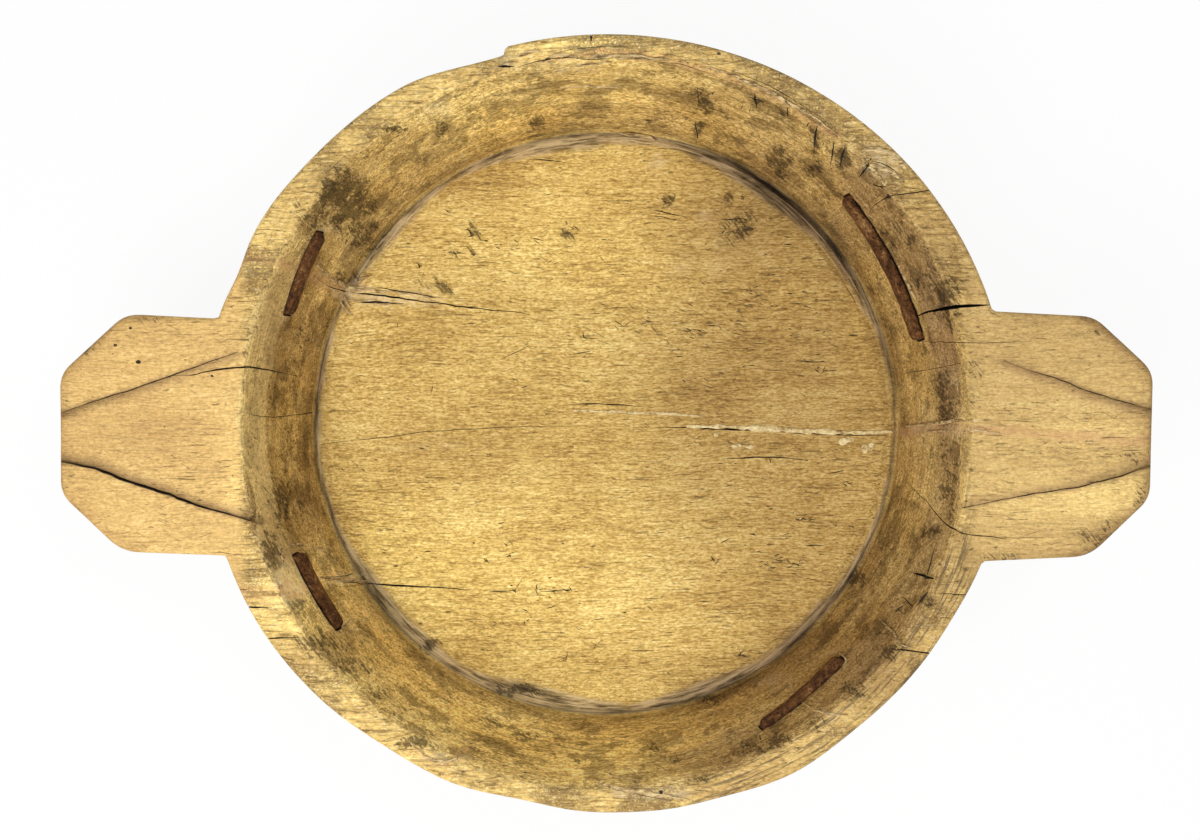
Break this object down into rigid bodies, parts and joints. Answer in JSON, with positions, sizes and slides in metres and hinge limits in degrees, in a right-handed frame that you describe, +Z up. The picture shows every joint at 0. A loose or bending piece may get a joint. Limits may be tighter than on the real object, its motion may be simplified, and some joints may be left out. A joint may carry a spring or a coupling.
{
  "type": "dough bowl",
  "caption": "Shallow round wooden dough bowl carved from one block, with a flat lug at each end of the grain, iron mending staples inside and a filled split in the floor.",
  "frame": {"origin": "middle of the flat base, on the surface that the bowl stands on", "axes": "+Z up out of the hollow, X along the grain and through both lugs, Y across the grain"},
  "size_m": [0.64, 0.4562, 0.108],
  "materials": {
    "old_wood": "dry, worn and stained",
    "rusted_iron": "brown rust",
    "filler": "matte, crumbling"
  },
  "bodies": {
    "root": {"bowl": "old_wood", "staple_upper_left": "rusted_iron", "staple_lower_left": "rusted_iron", "staple_upper_right": "rusted_iron", "staple_lower_right": "rusted_iron", "crack_filler": "filler"}
  },
  "joints": []
}
